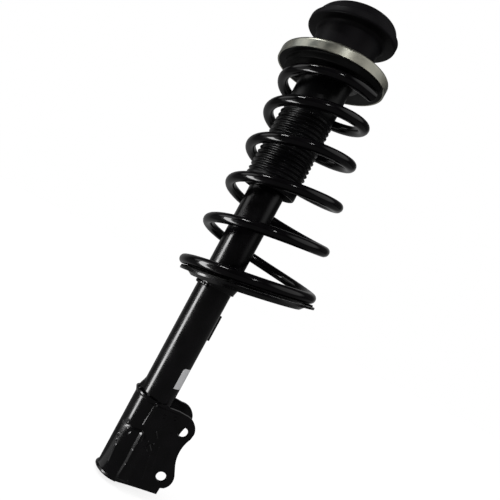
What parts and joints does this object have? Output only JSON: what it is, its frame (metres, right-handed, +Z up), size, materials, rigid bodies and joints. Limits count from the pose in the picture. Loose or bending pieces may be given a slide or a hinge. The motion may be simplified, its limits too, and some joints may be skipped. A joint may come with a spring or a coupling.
{
  "type": "suspension strut assembly",
  "caption": "Front suspension strut: damper with knuckle clevis, tilted lower seat, tapered coil spring, ribbed dust boot, plated upper seat and domed rubber top mount.",
  "frame": {"origin": "on the axis of the lower knuckle bolt, midway between the clevis's two ears", "axes": "+Z up the strut, parallel to the piston rod; +X from the tube towards the knuckle; +Y along the knuckle bolts"},
  "size_m": [0.1837, 0.1736, 0.663],
  "materials": {
    "gloss_black_paint": "gloss",
    "spring_black": "gloss",
    "bright_steel": "satin",
    "sintered_steel": "matte",
    "rubber_black": "matte",
    "mount_rubber": "satin",
    "boot_rubber": "satin",
    "foam_rubber": "matte",
    "zinc_plate": "satin",
    "black_plastic": "matte",
    "chromed_rod": "polished"
  },
  "bodies": {
    "strut_body": {"damper_tube": "gloss_black_paint", "tube_base_cap": "gloss_black_paint", "gland_cap": "gloss_black_paint", "knuckle_bracket": "gloss_black_paint", "lower_spring_seat": "gloss_black_paint", "lower_seat_hub": "gloss_black_paint", "hose_bracket": "gloss_black_paint", "coil_spring": "spring_black", "inner_cylinder": "bright_steel", "base_valve": "bright_steel", "rod_guide": "sintered_steel", "rod_seal": "rubber_black", "lower_insulator": "rubber_black"},
    "upper_seat": {"upper_spring_seat": "zinc_plate", "upper_insulator": "rubber_black", "bearing_lower_race": "bright_steel", "bearing_cage": "black_plastic", "bearing_balls": "bright_steel", "dust_boot": "boot_rubber"},
    "top_mount": {"bearing_upper_race": "bright_steel", "top_mount_rubber": "mount_rubber", "top_mount_plate": "bright_steel", "top_mount_sleeve": "bright_steel", "rod_washer": "zinc_plate", "rod_nut": "zinc_plate", "piston_rod": "chromed_rod", "piston": "sintered_steel", "piston_ring": "black_plastic", "piston_nut": "bright_steel", "rebound_stop": "black_plastic", "bump_stop": "foam_rubber", "bump_stop_cup": "gloss_black_paint"}
  },
  "joints": [
    {"name": "strut_stroke", "type": "slide", "parent": "strut_body", "child": "upper_seat", "axis": [0, 0, 1], "range_m": [-0.095, 0], "stiffness_N_per_m": 22000, "springref_m": 0.045, "deforming": ["coil_spring"]},
    {"name": "steering_turn", "type": "hinge", "parent": "upper_seat", "child": "top_mount", "pos_m": [-0.0479, 0, 0.5504], "axis": [0, 0, 1], "continuous": true}
  ]
}
